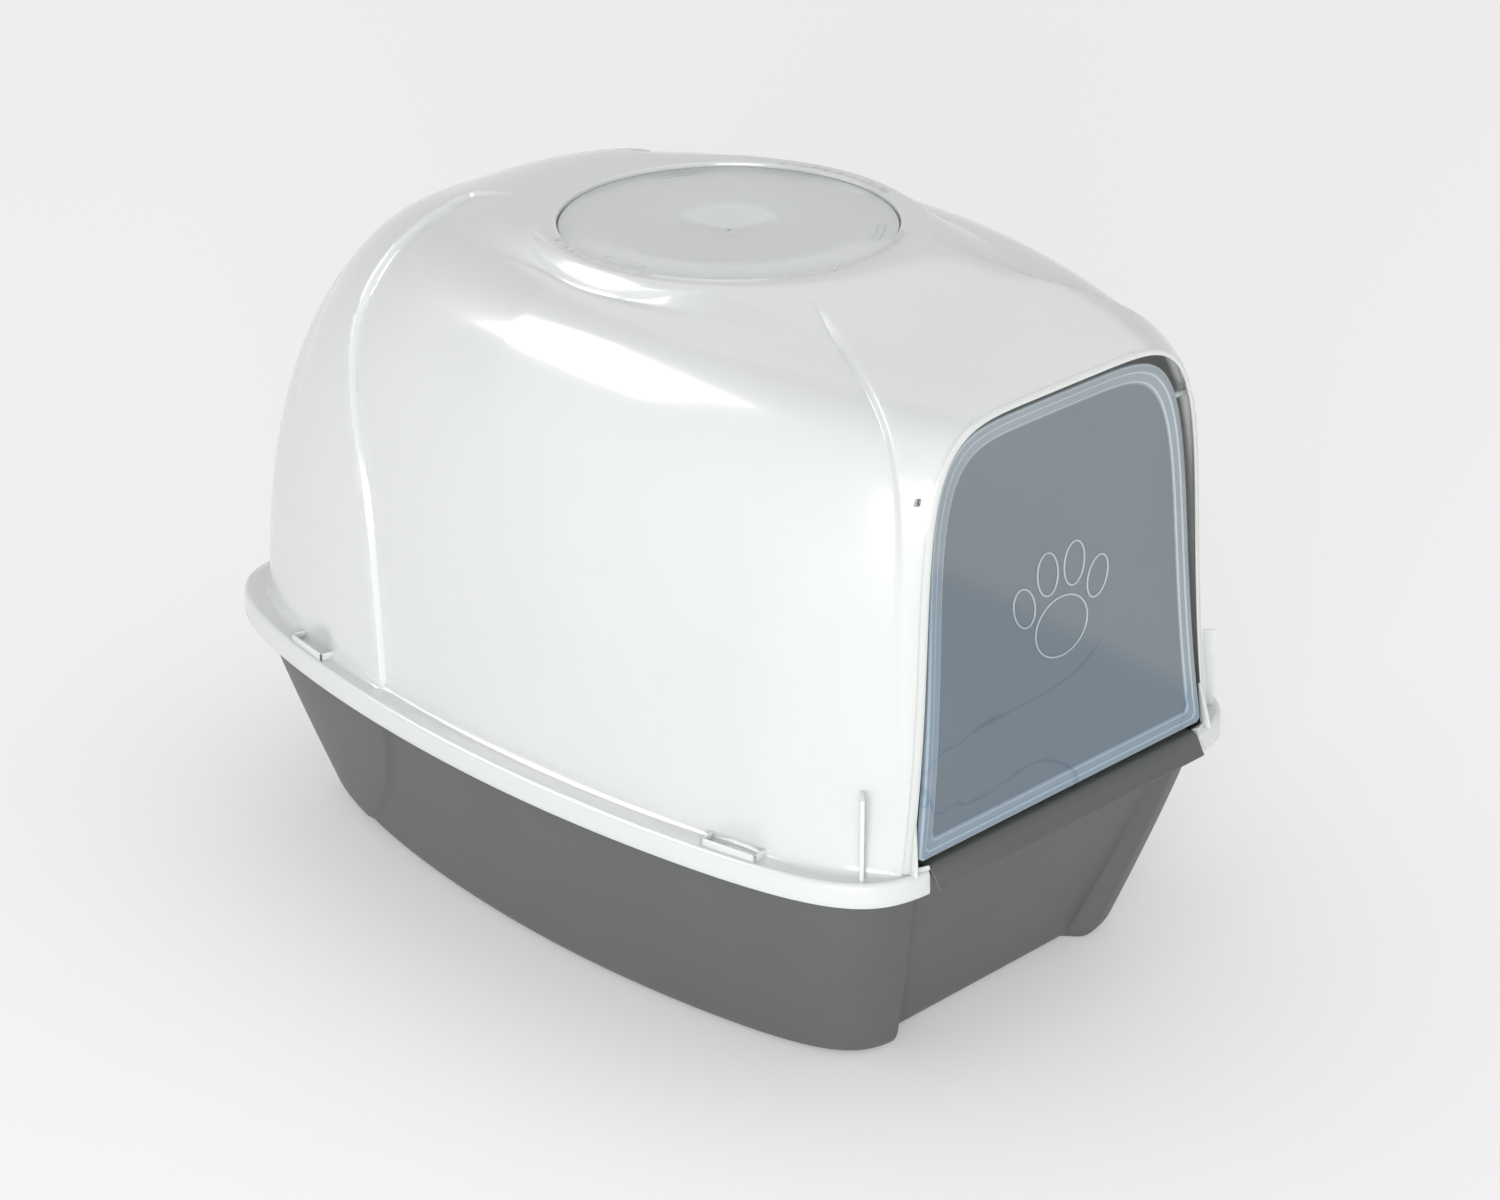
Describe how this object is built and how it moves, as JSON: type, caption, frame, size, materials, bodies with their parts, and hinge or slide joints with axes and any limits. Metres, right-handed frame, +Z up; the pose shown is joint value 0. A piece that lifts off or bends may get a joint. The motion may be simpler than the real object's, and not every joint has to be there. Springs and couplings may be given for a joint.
{
  "type": "hooded cat litter box",
  "caption": "Cat litter box: a deep open tray, a domed lift-off hood with a see-through door that swings on two pins, and a lift-out filter cover over a carbon pad.",
  "frame": {"origin": "middle of the box's bounding box, on the floor it stands on", "axes": "+Z up, the door looks along -Y, the box is symmetric left to right about X = 0"},
  "size_m": [0.3686, 0.546, 0.396],
  "materials": {
    "tray_grey": "satin injection-moulded plastic, fine grain",
    "hood_white": "pearl white gloss plastic",
    "flap_smoke": "smoked translucent plastic, clear, with a thicker border",
    "cover_white": "pearl white gloss plastic",
    "carbon_black": "needled carbon felt"
  },
  "bodies": {
    "tray": {"base_tray": "tray_grey"},
    "hood": {"hood": "hood_white"},
    "door": {"door_flap": "flap_smoke"},
    "cover": {"filter_cover": "cover_white"},
    "filter": {"carbon_filter": "carbon_black"}
  },
  "joints": [
    {"name": "hood_lift", "type": "slide", "parent": "tray", "child": "hood", "axis": [0, 0, 1], "range_m": [0, 0.12]},
    {"name": "door_swing", "type": "hinge", "parent": "hood", "child": "door", "pos_m": [0, -0.25271, 0.333], "axis": [1, 0, 0], "range_deg": [-85, 85]},
    {"name": "cover_lift", "type": "slide", "parent": "hood", "child": "cover", "axis": [0, 0, 1], "range_m": [0, 0.09]},
    {"name": "filter_lift", "type": "slide", "parent": "hood", "child": "filter", "axis": [0, 0, 1], "range_m": [0, 0.045]}
  ],
  "couplings": [
    {"joint": "filter_lift", "follows": "cover_lift", "ratio": 0.5}
  ]
}
